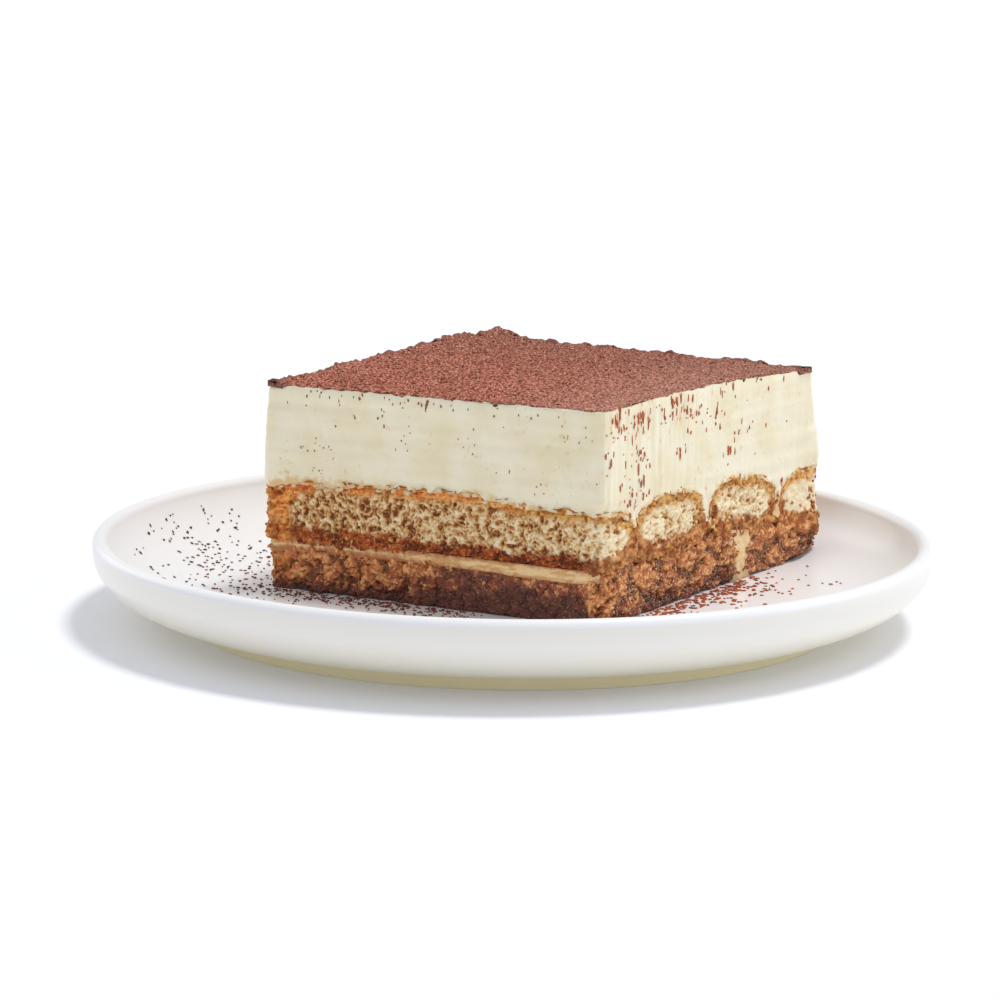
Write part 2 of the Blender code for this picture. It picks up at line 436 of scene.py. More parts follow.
def layerCopy(name, grow):
    # a merged copy of a layer's solid, its cut faces marked, and grown by a hair into its neighbours
    bm = bmesh.new()
    bm.from_mesh(frame["nodes"][name].data)
    bmesh.ops.remove_doubles(bm, verts=bm.verts[:], dist=0.002 * mm)
    bmesh.ops.dissolve_limit(bm, angle_limit=math.radians(1), verts=bm.verts[:], edges=bm.edges[:])
    bm.normal_update()
    for face in bm.faces:
        middle = face.calc_center_median()
        face.material_index = hidden
        if face.normal.z > 0.9 and name == "cocoa_layer":
            face.material_index = cutUp
        elif abs(face.normal.z) < 0.5:
            hit = solidTree.ray_cast(middle + face.normal * 0.02 * mm, face.normal, 30 * mm)
            if hit[0] is None:
                face.material_index = cutFront if abs(face.normal.y) > abs(face.normal.x) else cutSide
    for vert in bm.verts:
        inner = wayOut(vert, False)
        for face in vert.link_faces:
            if face.material_index != hidden:
                inner -= face.normal * inner.dot(face.normal)
        if inner.length > 0.01:
            vert.co += inner.normalized() * grow
    return bm


def gridCut(bm, spacing):
    # cuts the marked faces into a fine even grid, with one sweep of planes along each axis
    for axis, marks in ((2, (cutFront, cutSide)), (0, (cutFront, cutUp)), (1, (cutSide, cutUp))):
        ahead = [face for face in bm.faces if face.material_index in marks]
        if not ahead:
            continue
        places = [vert.co[axis] for face in ahead for vert in face.verts]
        low, high = min(places), max(places)
        count = max(int((high - low) / spacing), 1)
        normal = Vector((axis == 0, axis == 1, axis == 2))
        for step in range(1, count):
            level = low + (high - low) * step / count
            edges = list({edge for face in ahead for edge in face.edges})
            verts = list({vert for face in ahead for vert in face.verts})
            made = bmesh.ops.bisect_plane(bm, geom=ahead + edges + verts, dist=0.001 * mm,
                                          plane_co=normal * level, plane_no=normal)
            ahead = [item for item in made["geom"] if isinstance(item, bmesh.types.BMFace)
                     and max(vert.co[axis] for vert in item.verts) > level + 0.002 * mm]


def shownVerts(bm):
    # each vertex of the cut faces with the average way out of them
    found = {}
    for vert in bm.verts:
        out = wayOut(vert, True)
        if out.length > 0.1:
            found[vert] = out.normalized()
    return found


def treeOf(spots):
    tree = KDTree(max(len(spots), 1))
    for index, spot in enumerate(spots):
        tree.insert(spot, index)
    tree.balance()
    return tree


def outlineOf(bm):
    # the outline of a layer's cut faces as two search trees, of its top and sides and of its underside
    spots, ways = {"over": [], "under": []}, {"over": [], "under": []}
    for vert in bm.verts:
        inner = wayOut(vert, False)
        if inner.length > 0.01 and any(face.material_index != hidden for face in vert.link_faces):
            side = "under" if inner.normalized().z < -0.45 else "over"
            spots[side].append(vert.co.copy())
            ways[side].append(inner.normalized())
    return {side: (treeOf(spots[side]), ways[side]) for side in spots}


def nearOutline(outline, spot):
    # distance to the top and sides, distance to the underside, which of them is nearer, and the way out
    # of the layer there
    far, way = {}, {}
    for side, (tree, ways) in outline.items():
        index, away = tree.find(spot)[1:]
        far[side] = away if away is not None else 1.0
        way[side] = ways[index] if away is not None else Vector()
    nearer = min(far, key=far.get)
    return far["over"], far["under"], nearer, way[nearer]


# sponge fingers
sponge = {
    "spacing": 0.2 * mm,
    "grow": 0.35 * mm,
    # air bubbles: cell size, depth, share of them that are open
    "bubbles": ((1.5 * mm, 0.65 * mm, 0.2), (0.8 * mm, 0.42 * mm, 0.36), (0.45 * mm, 0.22 * mm, 0.55)),
    "fray": 0.5 * mm,
    "drag": 1.5,  # the knife draws crumbs out along the side cuts by this much
    "tipLength": 9.0 * mm,
    # the pale core from ridge to hollow; the darker stops are partly painted shade in the holes
    "crumb": ("fcedca", "edcc98", "c68c50", "7f4521"),
    "crust": ("92441c", "d66e30", "ffb560"),
    "rightCrust": ("b4722a", "e8b564"),
    "sideCrust": ("b86c2a", "f3c274"),
    "soak": ("64281a", "bc5c28"),
    "soakGold": "e29a52",
    "sideSoak": ("a05c32", "e6aa68"),
    "stain": "dda35c",
    "gold": "f8d694",
    # painted shade laid into the hollows of the torn crumb
    "pit": "6b351a",
}
soakedSponge = {
    "wet": ("663327", "96492f", "c97643", "f9ba76"),
    # painted shade laid into the hollows of the soaked crumb
    "pit": "45211b",
    "end": "dc8c48",
    # painted highlights of the wet film
    "paintedGlint": "f7dfb4",
}

# what each vertex of a cut knows: distance from the crust and from the underside, how sunken it is, how
# near a finger's tip, how far along the front, how much it faces sideways
crumbMarks = ("rim", "under", "pit", "tip", "along", "side")


def cavity(spot, cell, share):
    # the hollow of a bubble between its thin walls: 0 on a wall, 1 in the middle of an open bubble
    near, middles = noise.voronoi(spot / cell)
    draw = noise.cell(middles[0] * 31.7)
    if draw > share:
        return 0
    return ease(0.06 + 0.2 * draw, 0.6 + 0.3 * draw, near[1] - near[0])


def crumbHeight(spot, openness, soaked):
    # height of torn crumb over its cut plane, and how sunken the point is, both in millimetres
    spot = Vector((spot.x, spot.y / sponge["drag"], spot.z))
    warp = Vector([wave(spot, 1.9 * mm, seed) for seed in (1, 2, 3)]) * 0.5 * mm
    warp += Vector([wave(spot, 0.7 * mm, seed) for seed in (8, 9, 10)]) * 0.2 * mm
    depth = 0
    for cell, deep, share in sponge["bubbles"]:
        depth = max(depth, deep / mm * cavity(spot + warp, cell, share * openness))
    broad = 0.26 * wave(spot, 4.5 * mm, 4)
    raised = broad + 0.2 * wave(spot, 1.5 * mm, 5) + 0.18 * wave(spot, 0.6 * mm, 6)
    if soaked:
        crease = max(0, 1 - 7 * abs(wave(spot + warp, 2.8 * mm, 14)))
        raised += 0.45 * wave(spot, 3.0 * mm, 7) - 0.8 * crease
    return raised - depth, 0.22 + depth - 0.9 * (raised - broad)


def crumbSpill(spot, out):
    # how far torn crumb hangs over the thin middle cream, in millimetres: most at the left of the front
    back = fromFront(spot)
    front = -0.25 + 0.95 * (1 - ease(0.2, 0.7, fromLeft(spot) / portion["width"]))
    side = 0.9 - 0.3 * ease(49 * mm, 53 * mm, back) * (1 - ease(61 * mm, 65 * mm, back))
    return front + (side - front) * abs(out.x)


def crumbSqueeze(spot, out):
    # how far soaked crumb closes in sideways on the cream between two lower fingers, in millimetres
    level = overFloor(spot)
    atFloor = 1.8 * (1 - ease(1.0 * mm, 2.6 * mm, level))
    return abs(out.x) * (1 - ease(7.5 * mm, 9.5 * mm, level) + atFloor)


def crumbRelief(bm, soaked):
    # torn crumb: open bubbles in the pale core, lumps where it is soaked, a tighter skin at the crust
    rim, under, pit, tip, run, side = marksOn(bm, crumbMarks)
    outline = outlineOf(bm)
    for vert, out in shownVerts(bm).items():
        spot = vert.co.copy()
        away, lift, nearer, way = nearOutline(outline, spot)
        edge = min(away, lift)
        along = min(max(fromLeft(spot) / portion["width"], 0), 1)
        sideways, back = abs(out.x), fromFront(spot)
        if soaked:
            openness = 0.8
        else:
            patch = 1 + 0.45 * wave(spot, 5 * mm, 13)
            openness = (0.3 + 0.7 * ease(0.8 * mm, 2.2 * mm, away)) * (1.35 - 0.7 * along) * patch
            openness *= 1 - 0.6 * sideways
        height, sunk = crumbHeight(spot, openness, soaked)
        if soaked:
            smooth = 0.6 * ease(0.4, 0.65, along) * (1 - sideways)
            height *= 1 - smooth * (1 - ease(0.965, 0.98, along))
        else:
            height *= 1 - 0.6 * sideways * ease(64 * mm, 74 * mm, back)
            corner = max(0, out.x) * ease(80 * mm, 89 * mm, back)
            height += corner * (1.3 - 0.8 * ease(2 * mm, 6 * mm, lift))
            sunk *= 1 - 0.75 * sideways * ease(64 * mm, 74 * mm, back)
        height += (0.2 if away < lift and not soaked else -0.2) * (1 - ease(0, 0.7 * mm, edge))
        spill = crumbSpill(spot, out) if nearer == ("over" if soaked else "under") else 0
        squeeze = crumbSqueeze(spot, out) * abs(way.y) if soaked and nearer == "over" else 0
        height += 0.45 * min(spill + squeeze, 1) * (1 - ease(0, 2 * mm, edge))
        # crumb stands out at the far left of the upper row and the far right of the lower
        if soaked:
            height += 1.1 * max(0, out.x) * ease(79 * mm, 87 * mm, back)
            height -= 0.5 * (1 - ease(0, 2 * mm, lift)) * max(0, -out.x)
        else:
            height += 0.9 * max(0, -out.x)
        fray = swells(spot, (0.7, 2.4, 11), (0.5, 0.9, 12))
        slide = way * fray * sponge["fray"] * (1 - ease(0, 1.6 * mm, edge))
        slide += way * (spill * abs(way.z) + squeeze) * (1 + 0.9 * fray) * mm * (
            1 - ease(0, 3 * mm, edge))
        vert[rim] = away / mm
        vert[under] = lift / mm
        vert[pit] = min(max(sunk, 0), 1)
        vert[run] = along
        vert[side] = sideways
        vert[tip] = 1 - ease(0.35, 1, fromLeft(spot) / sponge["tipLength"])
        vert.co = spot + out * height * mm + slide - out * slide.dot(out)


def spongeMaterial():
    # ladyfinger sponge, baked then cut: matte pale crumb, browned crust, coffee drawn up from below
    material, add, shader = newMaterial("baked ladyfinger sponge", {
        "Roughness": 0.75, "Specular IOR Level": 0.3})
    crumb = partial(speckle, add, drag=sponge["drag"])
    rim, under, pit, tip, along, side = (add("Attribute", name) for name in crumbMarks)
    rough, mid, fine = crumb(2.4, 4.0), crumb(1.0, 3.0), crumb(0.45)
    dark, brown, gold = sponge["crust"]
    # the pale core, browner the deeper it is torn, partly its own colour and partly painted shade in the
    # holes
    sunk = add("Math", "MULTIPLY_ADD", fine, 0.5, add("Math", "SUBTRACT", pit, 0.2))
    # paler toward the right of the front and on the side cuts
    sunk = add("Math", "MULTIPLY_ADD", add("Math", "ADD", along, side), -0.16, sunk)
    pale = add("ValToRGB", list(zip((0.06, 0.28, 0.52, 0.8), sponge["crumb"])), sunk)
    # how far a point is from the crust, less at a finger's tip
    inside = add("Math", "MULTIPLY_ADD", rough, 4.0, rim)
    inside = add("Math", "MULTIPLY_ADD", tip, -4.0, inside)
    inside = add("Math", "MULTIPLY_ADD", side, -0.7, inside)
    # coffee and crust colour creep into the core in patches
    creep = add("Math", "MULTIPLY_ADD", crumb(3.5, 3.0), -5.0, inside)
    creep = add("Math", "MULTIPLY_ADD", side, 2.0, creep)
    pale = lay(add, pale, sponge["stain"], (creep, 3.2, 0.6, 0.0, 0.75))
    pale = lay(add, pale, sponge["gold"], (crumb(0.5, 1.0), 0.62, 0.7, 0.0, 0.6))
    # crust: browned in streaks, burnt in patches, more golden to the right and on the side cuts
    streak = add("Math", "ADD", mid, crumb(0.7, 3.0, (6, 1, 1)))
    baked = lay(add, brown, gold, (streak, 0.84, 1.16))
    baked = lay(add, baked, dark, (crumb(1.5, 4.0, (2.5, 1, 1)), 0.53, 0.65, 0.0, 0.65))
    farther = lay(add, *sponge["rightCrust"], (streak, 0.84, 1.16))
    baked = lay(add, baked, farther, (along, 0.45, 0.95, 0.0, 0.9))
    golden = lay(add, *sponge["sideCrust"], (mid, 0.36, 0.6))
    golden = lay(add, golden, dark, (crumb(1.6, 3.0), 0.56, 0.7, 0.0, 0.8))
    most = add("Math", "MULTIPLY", side, 0.85)
    baked = add("Mix", "RGBA", most, baked, golden)
    # painted shade in the hollows of the crust
    baked = lay(add, baked, sponge["pit"], (pit, 0.4, 1.0, 0.0, 0.6))
    colour = lay(add, baked, pale, (inside, 3.0, 4.9))
    skin = add("Math", "MULTIPLY_ADD", rough, 2.4, rim)
    skin = add("Math", "MULTIPLY_ADD", side, 0.3, skin)
    colour = lay(add, colour, dark, (skin, 1.5, 1.1, 0.0, 0.7))
    # the soaked underside
    soakLine = add("Math", "MULTIPLY_ADD", rough, -5.5, under)
    blot = add("Math", "ADD", mid, crumb(3.0, 3.0, (2, 1, 1)))
    wet = lay(add, *sponge["soak"], (blot, 0.82, 1.18))
    wet = lay(add, wet, sponge["soakGold"], (fine, 0.54, 0.66, 0.0, 0.75))
    wetSide = lay(add, *sponge["sideSoak"], (crumb(1.7, 4.0), 0.4, 0.6))
    wet = add("Mix", "RGBA", most, wet, wetSide)
    # painted shade in the hollows of the soaked crumb
    wet = lay(add, wet, sponge["pit"], (pit, 0.3, 1.0, 0.0, 0.75))
    colour = lay(add, colour, wet, (soakLine, 1.0, -0.2))
    colour = lay(add, colour, baked, (tip, 0.4, 1.0, 0.0, 0.85))
    fill(shader, {"Base Color": colour, "Normal": add("Bump", False, 0.6, 0.15 * mm, fine)})
    return material


def soakedColour(add):
    # coffee-soaked crumb: darkest where the coffee settled, tan lumps where less of it reached
    # painted shade in its hollows, painted light on its raised lumps, painted glints on the side cuts
    x, y, z = (add("SeparateXYZ", axis, add("TexCoord", "Object")) for axis in "XYZ")
    crumb = partial(speckle, add, drag=sponge["drag"])
    pit, tip, along, side = (add("Attribute", name) for name in crumbMarks[2:])
    level = add("Math", "MULTIPLY_ADD", z, 1 / mm, -plate["floorHeight"] / mm)
    # paler toward the far left and the near right corner, though not at the very bottom
    corner = together(add, (x, 30 * mm, 34 * mm), (y, -19 * mm, -26 * mm))
    ends = together(add, (along, 0.6, 0.05, 0.0, 9.0))
    ends = add("Math", "MULTIPLY_ADD", corner, 7.0, ends)
    ends = add("Math", "MULTIPLY", ends, together(add, (level, -0.5, 5.0)))
    # smooth and dark along the right of the front
    front = add("Math", "SUBTRACT", 1.0, side)
    front = add("Math", "MULTIPLY", together(add, (along, 0.4, 0.65)), front)
    front = add("Math", "MULTIPLY", front, add("Math", "SUBTRACT", 1.0, corner))
    dry = add("Math", "MULTIPLY_ADD", front, -2.2, ends)
    # wide dark and pale patches on the side cuts, paler toward the back
    patches = add("Math", "MULTIPLY_ADD", crumb(7.0), 16.0, -6.4)
    patches = add("Math", "ADD", patches, together(add, (y, 0.0, 60 * mm, 1.0, 4.5)))
    dry = add("Math", "MULTIPLY_ADD", patches, side, dry)
    dry = add("Math", "MULTIPLY_ADD", crumb(3.2, 5.0), 10.0, dry)
    dry = add("Math", "ADD", add("Math", "ADD", dry, level), 1.6)
    dark, brown, tan, gold = soakedSponge["wet"]
    colour = add("ValToRGB", [(0.0, dark), (0.44, dark), (0.6, brown), (0.84, tan)],
                 add("Math", "DIVIDE", dry, 20.0))
    colour = lay(add, colour, gold, (crumb(1.1, 3.0), 0.48, 0.64), (dry, 9.5, 14.0, 0.05, 0.9))
    # gold on raised crumb high in the row: partly the drier crumb's own colour, partly painted light on
    # the lumps' tops
    colour = lay(add, colour, gold, (pit, 0.3, 0.0), (dry, 9.0, 14.0, 0.0, 0.8),
                 (crumb(0.6), 0.38, 0.6, 0.1, 1.0))
    # painted shade in the hollows
    colour = lay(add, colour, soakedSponge["pit"], (pit, 0.35, 0.9, 0.0, 0.7))
    colour = lay(add, colour, soakedSponge["end"], (tip, 0.4, 1.0, 0.0, 0.7), (z, 8 * mm, 12 * mm))
    # painted glints: pale specks stand in for highlights on the wet film, most on the side cuts
    return lay(add, colour, soakedSponge["paintedGlint"], (crumb(0.3, 1.0), 0.63, 0.69),
               (side, 0.0, 1.0, 0.25, 0.9))


def wetFilm(add, shader):
    # the film of coffee over the crumb, broken up so that it glistens
    bump = add("Bump", False, 0.8, 0.25 * mm, speckle(add, 0.45))
    fill(shader, {"Normal": bump, "Coat Normal": bump})


def soakedMaterial():
    # coffee-soaked sponge: a wet film over the torn crumb catches small lights
    material, add, shader = newMaterial("coffee soaked sponge", {
        "Roughness": 0.55, "Specular IOR Level": 0.28, "Coat Weight": 0.2, "Coat Roughness": 0.1})
    fill(shader, {"Base Color": soakedColour(add)})
    wetFilm(add, shader)
    return material


def buildFingers():
    dry, wet = spongeMaterial(), soakedMaterial()
    for name in upperFingers + lowerFingers:
        soaked = name in lowerFingers
        bm = layerCopy(name, sponge["grow"])
        gridCut(bm, sponge["spacing"])
        crumbRelief(bm, soaked)
        row, number = name.split("_")[1:]
        label = f"ladyfinger{row.capitalize()}{number}"
        finishPiece(bm, label, wet if soaked else dry, [name])
        print(label, "torn")


buildFingers()

# cream
cream = {
    "spacing": 0.4 * mm,
    "grow": 0.6 * mm,
    "rimInset": 0.7 * mm,  # the strip round its top that is cut as finely as its sides
    "lip": 0.42 * mm,
    "cornerBulge": 1.0 * mm,
    "ivory": "fbf3da",
    "shade": "f1e6c2",
    "cocoaDust": "b0522e",
    "halo": "eda584",
    "tint": "e6bf84",
    "tan": "f9d79e",
    "tanShade": "dfaa6a",
    "edge": "b4683a",
    "tongue": "f8dcaa",
}
middleCream = {
    "spacing": 0.28 * mm,
    "grow": 0.35 * mm,
}


def creamRelief(bm):
    # knife-cut cream: broad waves, faint level bands, streaks dragged down the side cuts, small holes
    dust, seam = marksOn(bm, ("dust", "seam"))
    outline = outlineOf(bm)
    for vert, out in shownVerts(bm).items():
        spot = vert.co.copy()
        top, foot = nearOutline(outline, spot)[:2]
        side, back, left = abs(out.x), fromFront(spot), fromLeft(spot)
        height = swells(spot, (0.18, 14, 1), (0.08, 4, 2), (0.03, 1.4, 3))
        bands = 1 - side * (1 - ease(30 * mm, 50 * mm, back))
        height += 0.12 * bands * wave(Vector((spot.x / 20, spot.y / 20, spot.z)), 1.7 * mm, 4)
        streak = wave(Vector((spot.x, spot.y, spot.z / 18)), 1.3 * mm, 5)
        height += 0.24 * side * (1 - 0.85 * ease(22 * mm, 45 * mm, back)) * streak
        height -= 0.5 * bubble(spot, 3.2 * mm, 0.16)
        height -= 0.2 * (1 - ease(0, 0.8 * mm, top))
        height += (0.1 + 0.3 * wave(spot, 1.6 * mm, 8)) * (1 - ease(0, 1.6 * mm, foot))
        # the cream swells past the crumb at the far left and far right corners
        corner = 1 - ease(0, 10 * mm, max(left, back))
        corner = max(corner, 0.7 * (1 - ease(0, 11 * mm, max(fromRight(spot), fromBack(spot)))))
        swell = 1.0 + 0.4 * wave(Vector((0, 0, spot.z)), 8 * mm, 9)
        swell -= 0.75 * (1 - ease(1 * mm, 9 * mm, top))
        height += cream["cornerBulge"] / mm * corner * swell * (0.45 + 0.55 * ease(0, 2.2 * mm, foot))
        moved = spot + out * height * mm
        if foot < 1.4 * mm:
            edgeWave = swells(spot, (0.5, 3.0, 6), (0.45, 1.1, 7))
            moved.z += edgeWave * 0.9 * mm * (1 - foot / (1.4 * mm))
        if top < mm:
            hang = 1 - ease(3.5 * mm, 6.5 * mm, Vector((left, back)).length)
            lip = cream["lip"] * (1 - hang) + 0.22 * mm * wave(spot, 1.8 * mm, 10)
            moved.z += lip * (1 - top / mm)
        vert[dust] = side * (1 - ease(30 * mm, 58 * mm, back)) * (1 - 0.75 * ease(3 * mm, 13 * mm, top))
        vert[seam] = foot / mm - 2.0 * side * (1 - ease(19 * mm, 24 * mm, spot.z)) - 0.9 * (1 - side) * (
            1 - ease(8 * mm, 34 * mm, left))
        vert.co = moved


def creamMaterial():
    # whipped mascarpone cream: satin, dense and milky, light carries a little way in
    material, add, shader = newMaterial("mascarpone cream", {
        "Roughness": 0.5, "Subsurface Weight": 0.25, "Subsurface Radius": (1.0, 0.8, 0.5),
        "Subsurface Scale": 1.5 * mm})
    colour = lay(add, cream["ivory"], cream["shade"], (speckle(add, 9.0, 3.0), 0.3, 0.75))
    # coffee and cocoa tint it where it meets the crumb, and in faint soft spots
    seam = add("Math", "MULTIPLY_ADD", speckle(add, 1.8, 4.0), -4.5, add("Attribute", "seam"))
    colour = lay(add, colour, cream["tint"], (seam, -1.0, -2.6, 0.0, 0.85))
    fine = speckle(add, 0.9, 3.0)
    colour = lay(add, colour, cream["tint"], (fine, 0.58, 0.74, 0.0, 0.6), (speckle(add, 6.0), 0.48, 0.6))
    # cocoa dragged down it in dashes, each with a pale halo
    chance = together(add, (speckle(add, 7.0, 3.0), 0.36, 0.6, 0.3, 1.0))
    chance = add("Math", "MULTIPLY", chance, add("Attribute", "dust"))
    dash = add("Math", "MULTIPLY_ADD", chance, 0.24, speckle(add, 0.6, 3.0, (1, 1.8, 4)))
    colour = lay(add, colour, cream["halo"], (dash, 0.73, 0.85, 0.0, 0.6))
    colour = lay(add, colour, cream["cocoaDust"], (dash, 0.84, 0.9, 0.0, 0.9))
    fill(shader, {"Base Color": colour, "Normal": add("Bump", False, 0.25, 0.2 * mm, fine)})
    return material


def middleRelief(bm):
    # the thin middle cream: smooth where a spoonful shows, elsewhere buried under crumb torn over it
    crumbs, pit, run, side, rim = marksOn(bm, ("crumbs", "pit", "along", "side", "rim"))
    outline = outlineOf(bm)
    for vert, out in shownVerts(bm).items():
        spot = vert.co.copy()
        top, foot = nearOutline(outline, spot)[:2]
        back = fromFront(spot)
        shown = ease(51 * mm, 53 * mm, back) * (1 - ease(61 * mm, 64 * mm, back))
        cover = abs(out.x) * (1 - shown) * (0.35 + 0.65 * ease(0, 4 * mm, back))
        height, sunk = crumbHeight(spot, 0.8, True)
        plain = swells(spot, (0.14, 4, 2), (0.2, 1.3, 3), (0.1, 0.6, 4))
        lift = plain * (1 - cover) + height * cover - 0.3 * min(crumbSpill(spot, out), 1)
        vert[crumbs] = cover
        vert[pit] = min(max(sunk, 0), 1) * cover
        vert[run] = min(max(fromLeft(spot) / portion["width"], 0), 1)
        vert[side] = abs(out.x)
        vert[rim] = min(top, foot) / mm - crumbSpill(spot, out)
        vert.co = spot + out * lift * mm


def middleMaterial():
    # cream stained by the coffee of the sponge it lies on, with torn crumb over it on the side cuts
    material, add, shader = newMaterial("coffee stained cream", {"Roughness": 0.5})
    stained = lay(add, cream["tan"], cream["tanShade"], (speckle(add, 0.8, 4.0, (5, 1, 1)), 0.4, 0.66))
    edge = add("Math", "MULTIPLY_ADD", speckle(add, 1.2, 3.0), -1.6, add("Attribute", "rim"))
    stained = lay(add, stained, cream["edge"], (edge, 0.3, -0.9, 0.0, 0.9))
    side = add("Math", "MULTIPLY", add("Attribute", "side"), 0.6)
    stained = add("Mix", "RGBA", side, stained, cream["tongue"])
    cover = add("Math", "MULTIPLY_ADD", speckle(add, 2.5, 4.0), 0.5, add("Attribute", "crumbs"))
    colour = lay(add, stained, soakedColour(add), (cover, 0.6, 0.85))
    fill(shader, {"Base Color": colour})
    wetFilm(add, shader)
    return material


def buildCream():
    bm = layerCopy("cream_top", cream["grow"])
    roof = [face for face in bm.faces if face.normal.z > 0.9]
    bmesh.ops.inset_region(bm, faces=roof, thickness=cream["rimInset"], use_even_offset=True)
    gridCut(bm, cream["spacing"])
    creamRelief(bm)
    finishPiece(bm, "mascarponeTop", creamMaterial(), ["cream_top"])
    bm = layerCopy("cream_middle", middleCream["grow"])
    gridCut(bm, middleCream["spacing"])
    middleRelief(bm)
    finishPiece(bm, "mascarponeMiddle", middleMaterial(), ["cream_middle"])
    print("cream spread")


buildCream()

# cocoa
cocoa = {
    "spacing": 0.34 * mm,
    "grow": 0.25 * mm,
    "recess": 0.38 * mm,  # how far it is drawn back from the cream's rim
    "farSlump": 3.5 * mm,  # how much sooner it ends at the back
    "powder": "c87b64",
    "shade": "7e4132",
    # painted highlights on the grains' tops
    "paintedHighlight": "eaae98",
    # painted shade between grains and in the gaps between clots
    "pit": "3f1e18",
    # painted shade toward the back
    "far": "7d5346",
    # painted shade along the bare left and back edges and under the flap
    "edge": "8c6256",
    # painted sheen, greyer and paler
    "paintedSheen": "cfa898",
}

# how deep between clots a vertex lies, how far back, and how near the bare edge; the material paints
# shade by all three
cocoaMarks = ("pit", "far", "rim")


def cocoaRelief(bm):
    # sifted cocoa: clotted grains with dark gaps, drawn back a little behind the cream's rim, crumbling
    # at the far edges
    pit, far, rim = marksOn(bm, cocoaMarks)
    for vert, out in shownVerts(bm).items():
        spot = vert.co.copy()
        left, right, front = fromLeft(spot), fromRight(spot), fromFront(spot)
        back = fromBack(spot) - cocoa["farSlump"]
        edge = max(min(left, right, front, back), 0)
        rear = 1 - ease(0, 3 * mm, min(left, back))
        grain = swells(spot, (0.18, 1.0, 1), (0.09, 0.5, 2))
        gap = bubble(spot, 1.5 * mm, 0.44)
        height = grain - 0.24 * gap + 0.16 * wave(spot, 13 * mm, 3) + 0.1 * wave(spot, 4 * mm, 4)
        height += rear * (0.35 + 0.5 * wave(spot, 2.0 * mm, 6) + 0.3 * wave(spot, 6 * mm, 7))
        # a clot at the back corner, a gap beside it, and a flap that hangs over the left corner
        height += 0.9 * (1 - ease(1 * mm, 7 * mm, Vector((left, back)).length))
        beside = 1.6 * (1 - ease(0, 1.6 * mm, abs(front - 78.5 * mm)))
        height -= beside * (1 - ease(1.5 * mm, 4 * mm, left))
        flap = 1 - ease(2.5 * mm, 5 * mm, Vector((left, front)).length)
        overhang = 1 - ease(3 * mm, 9 * mm, Vector((right, back)).length)
        height -= 0.35 * flap + 0.45 * overhang
        amount = (1 - flap) * (cocoa["recess"] + 0.22 * mm * wave(spot, 1.6 * mm, 5)) - 0.35 * mm * flap
        shift = Vector()
        edges = (left, (1, 0, 0)), (right, (-1, 0, 0)), (front, (0, 1, 0)), (back, (0, -1, 0))
        for gone, way in edges:
            shift += Vector(way) * amount * (1 - ease(0, 2.4 * mm, gone))
        shift.x += 1.1 * mm * overhang
        up = ease(0.3, 0.8, out.z)
        moved = spot + shift + Vector((0, 0, height * mm)) * max(up, 0.3)
        hang = mm * (1 - up) * max(0.7 * flap, 0.7 * overhang)
        moved.z += hang - 0.2 * mm * (1 - ease(0, 0.6 * mm, edge)) * up
        vert[pit] = min(gap + max(0, -2.2 * grain), 1)
        vert[far] = ease(20 * mm, 85 * mm, front)
        # near the bare left and back edges and on the flap, where the material paints shade
        bare = (1.9 + 0.9 * wave(spot, 2.2 * mm, 8)) * mm
        vert[rim] = max(1 - ease(0.4 * mm, bare, min(left, back)), flap)
        vert.co = moved


def cocoaMaterial():
    # unsweetened cocoa powder, sifted: dead matte, red-brown, with painted shade in the gaps between
    # clots
    # painted shade also at its bare edges and toward the back, painted highlights on its grains, painted
    # sheen to the right
    material, add, shader = newMaterial("sifted cocoa powder", {
        "Roughness": 0.95, "Specular IOR Level": 0.15})
    pit, far, rim = (add("Attribute", name) for name in cocoaMarks)
    colour = lay(add, cocoa["shade"], cocoa["powder"], (speckle(add, 0.7, 3.0), 0.4, 0.62))
    across = add("SeparateXYZ", "X", add("TexCoord", "Object"))
    # painted sheen: paler and greyer toward the right, where the powder is seen at a grazing angle
    colour = lay(add, colour, cocoa["paintedSheen"], (across, 0.0, 40 * mm, 0.0, 0.28))
    # painted shade: darker and greyer toward the back
    colour = add("Mix", "RGBA", add("Math", "MULTIPLY", far, 0.45), colour, cocoa["far"])
    # painted light and shade: bright specks for the lit tops of grains, dark specks for the shade between
    # them
    grain = speckle(add, 0.42, 1.0)
    colour = lay(add, colour, cocoa["paintedHighlight"], (grain, 0.56, 0.68, 0.0, 0.8))
    colour = lay(add, colour, cocoa["pit"], (grain, 0.44, 0.34, 0.0, 0.95))
    # painted shade on the bare left and back edges and on the flap over the left corner
    colour = add("Mix", "RGBA", add("Math", "MULTIPLY", rim, 0.85), colour, cocoa["edge"])
    # painted shade in the gaps between clots
    colour = lay(add, colour, cocoa["pit"], (pit, 0.15, 0.65, 0.0, 0.95))
    bump = add("Bump", False, 0.7, 0.25 * mm, speckle(add, 0.35, 3.0))
    fill(shader, {"Base Color": colour, "Normal": bump})
    return material


def buildCocoa():
    bm = layerCopy("cocoa_layer", cocoa["grow"])
    gridCut(bm, cocoa["spacing"])
    cocoaRelief(bm)
    finishPiece(bm, "cocoaTop", cocoaMaterial(), ["cocoa_layer"])
    print("cocoa sifted")


buildCocoa()

